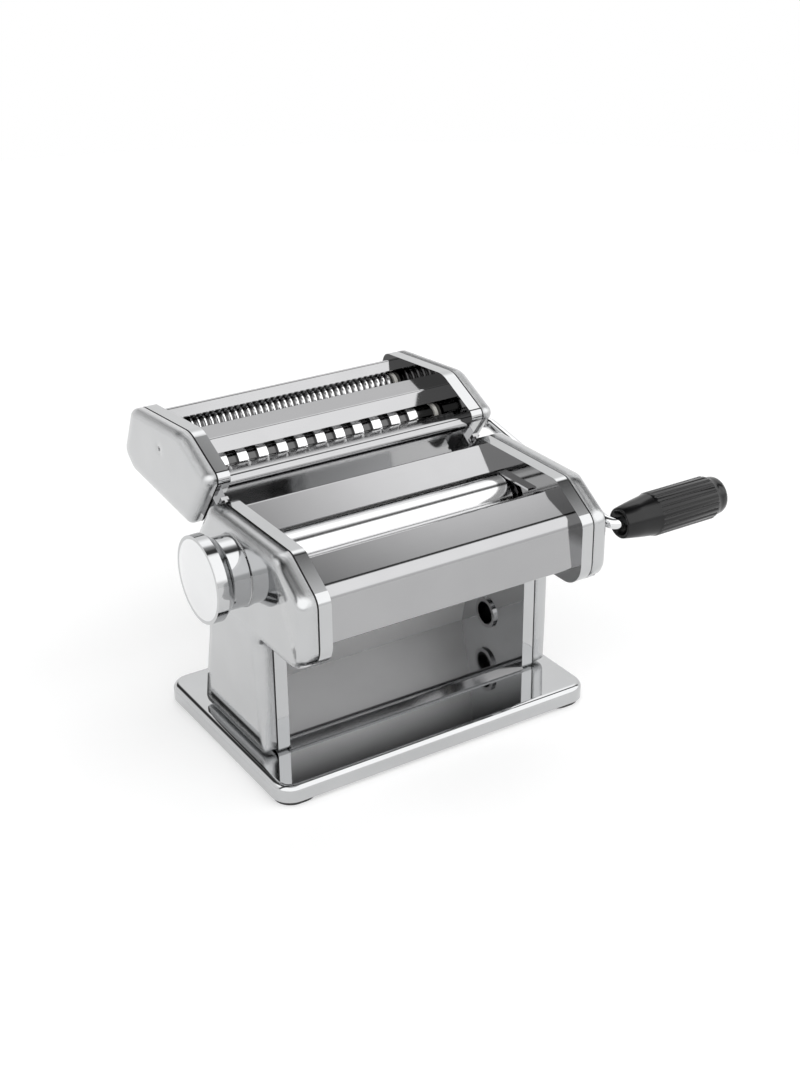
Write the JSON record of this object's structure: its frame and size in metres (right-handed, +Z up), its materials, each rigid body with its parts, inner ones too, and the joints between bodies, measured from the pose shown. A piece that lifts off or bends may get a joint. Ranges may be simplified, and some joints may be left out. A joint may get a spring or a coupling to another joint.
{
  "type": "pasta roller machine",
  "caption": "Hand-cranked pasta sheet roller on a rectangular base with a thickness knob, a hopper, a lift-off noodle cutter and a cranked handle.",
  "frame": {"origin": "centre of the base plate on the table surface, under the rubber feet", "axes": "+X along the rollers towards the crank, +Y to the back where the cutter is, +Z up"},
  "size_m": [0.3159, 0.2233, 0.1783],
  "materials": {
    "chrome_shell": "mirror-bright chrome plate",
    "chrome_sheet": "bright chromed sheet",
    "chrome_rod": "bright chromed rod",
    "steel": "plain turned or cut steel",
    "roller_steel": "fine-ground roller steel",
    "knob_aluminium": "satin face disc",
    "black_trim": "matt black gasket",
    "bearing_plastic": "white bearing plastic",
    "black_plastic": "moulded black plastic, ribbed",
    "rubber": "matt black rubber"
  },
  "bodies": {
    "frame": {"base_plate": "chrome_shell", "rubber_feet": "rubber", "left_cheek": "chrome_shell", "right_cheek": "chrome_shell", "left_seal": "black_trim", "right_seal": "black_trim", "left_cover": "chrome_shell", "right_cover": "chrome_shell", "front_panel": "chrome_sheet", "hopper_plate": "chrome_sheet", "back_panel": "chrome_sheet", "chute_plate": "chrome_sheet", "tie_rods": "steel", "roller_end_strips": "chrome_sheet", "front_scraper": "steel", "rear_scraper": "steel", "drive_bushes": "bearing_plastic", "index_hub": "bearing_plastic", "gear_plate": "steel", "gear_plate_posts": "steel", "cutter_rails": "chrome_sheet", "clamp_eyelet": "chrome_sheet"},
    "drive": {"drive_roller": "roller_steel", "drive_gear": "steel"},
    "regulator": {"eccentric_axle": "steel", "axle_washer": "steel"},
    "knob_unit": {"knob": "chrome_shell", "knob_face": "knob_aluminium", "index_pin": "steel"},
    "sleeves": {"roller_sleeves": "steel"},
    "adjusting": {"adjusting_roller": "roller_steel", "adjusting_gear": "steel"},
    "cutter": {"cutter_left_cheek": "chrome_shell", "cutter_right_cheek": "chrome_shell", "cutter_left_seal": "black_trim", "cutter_right_seal": "black_trim", "cutter_left_cap": "chrome_shell", "cutter_right_cap": "chrome_shell", "cutter_rear_panel": "chrome_sheet", "cutter_middle_bar": "chrome_sheet", "cutter_front_panel": "chrome_sheet", "cutter_strippers": "steel", "cutter_bushes": "bearing_plastic", "cutter_hooks": "chrome_sheet"},
    "wide_drive": {"wide_drive_roller": "roller_steel", "wide_drive_gear": "steel"},
    "wide_idler": {"wide_idler_roller": "roller_steel", "wide_idler_gear": "steel"},
    "narrow_drive": {"narrow_drive_roller": "roller_steel", "narrow_drive_gear": "steel"},
    "narrow_idler": {"narrow_idler_roller": "roller_steel", "narrow_idler_gear": "steel"},
    "crank": {"crank_rod": "chrome_rod"},
    "grip": {"crank_grip": "black_plastic"}
  },
  "joints": [
    {"name": "drive_turn", "type": "hinge", "parent": "frame", "child": "drive", "pos_m": [0, -0.0497, 0.12107], "axis": [1, 0, 0], "continuous": true},
    {"name": "regulator_turn", "type": "hinge", "parent": "frame", "child": "regulator", "pos_m": [0, -0.0182, 0.1236], "axis": [-1, 0, 0], "range_deg": [0, 90]},
    {"name": "knob_pull", "type": "slide", "parent": "regulator", "child": "knob_unit", "axis": [-1, 0, 0], "range_m": [0, 0.005], "stiffness_N_per_m": 800, "springref_m": -0.003},
    {"name": "sleeve_turn", "type": "hinge", "parent": "regulator", "child": "sleeves", "pos_m": [0, -0.0161, 0.1215], "axis": [-1, 0, 0], "range_deg": [-90, 0]},
    {"name": "adjusting_turn", "type": "hinge", "parent": "sleeves", "child": "adjusting", "pos_m": [0, -0.0161, 0.1215], "axis": [1, 0, 0], "continuous": true},
    {"name": "cutter_lift", "type": "slide", "parent": "frame", "child": "cutter", "axis": [0, -0.6, 0.8], "range_m": [0, 0.06]},
    {"name": "wide_turn", "type": "hinge", "parent": "cutter", "child": "wide_drive", "pos_m": [0, 0.0452, 0.1439], "axis": [1, 0, 0], "continuous": true},
    {"name": "wide_idler_turn", "type": "hinge", "parent": "cutter", "child": "wide_idler", "pos_m": [0, 0.06146, 0.14887], "axis": [1, 0, 0], "continuous": true},
    {"name": "narrow_turn", "type": "hinge", "parent": "cutter", "child": "narrow_drive", "pos_m": [0, 0.0916, 0.1502], "axis": [1, 0, 0], "continuous": true},
    {"name": "narrow_idler_turn", "type": "hinge", "parent": "cutter", "child": "narrow_idler", "pos_m": [0, 0.10786, 0.15517], "axis": [1, 0, 0], "continuous": true},
    {"name": "crank_pull", "type": "slide", "parent": "wide_drive", "child": "crank", "axis": [1, 0, 0], "range_m": [0, 0.03]},
    {"name": "grip_spin", "type": "hinge", "parent": "crank", "child": "grip", "pos_m": [0.15, -0.08, 0.1195], "axis": [1, 0, 0], "continuous": true}
  ],
  "couplings": [
    {"joint": "sleeve_turn", "follows": "regulator_turn", "ratio": -1},
    {"joint": "adjusting_turn", "follows": "drive_turn", "ratio": -1},
    {"joint": "wide_idler_turn", "follows": "wide_turn", "ratio": -1},
    {"joint": "narrow_idler_turn", "follows": "narrow_turn", "ratio": -1}
  ]
}
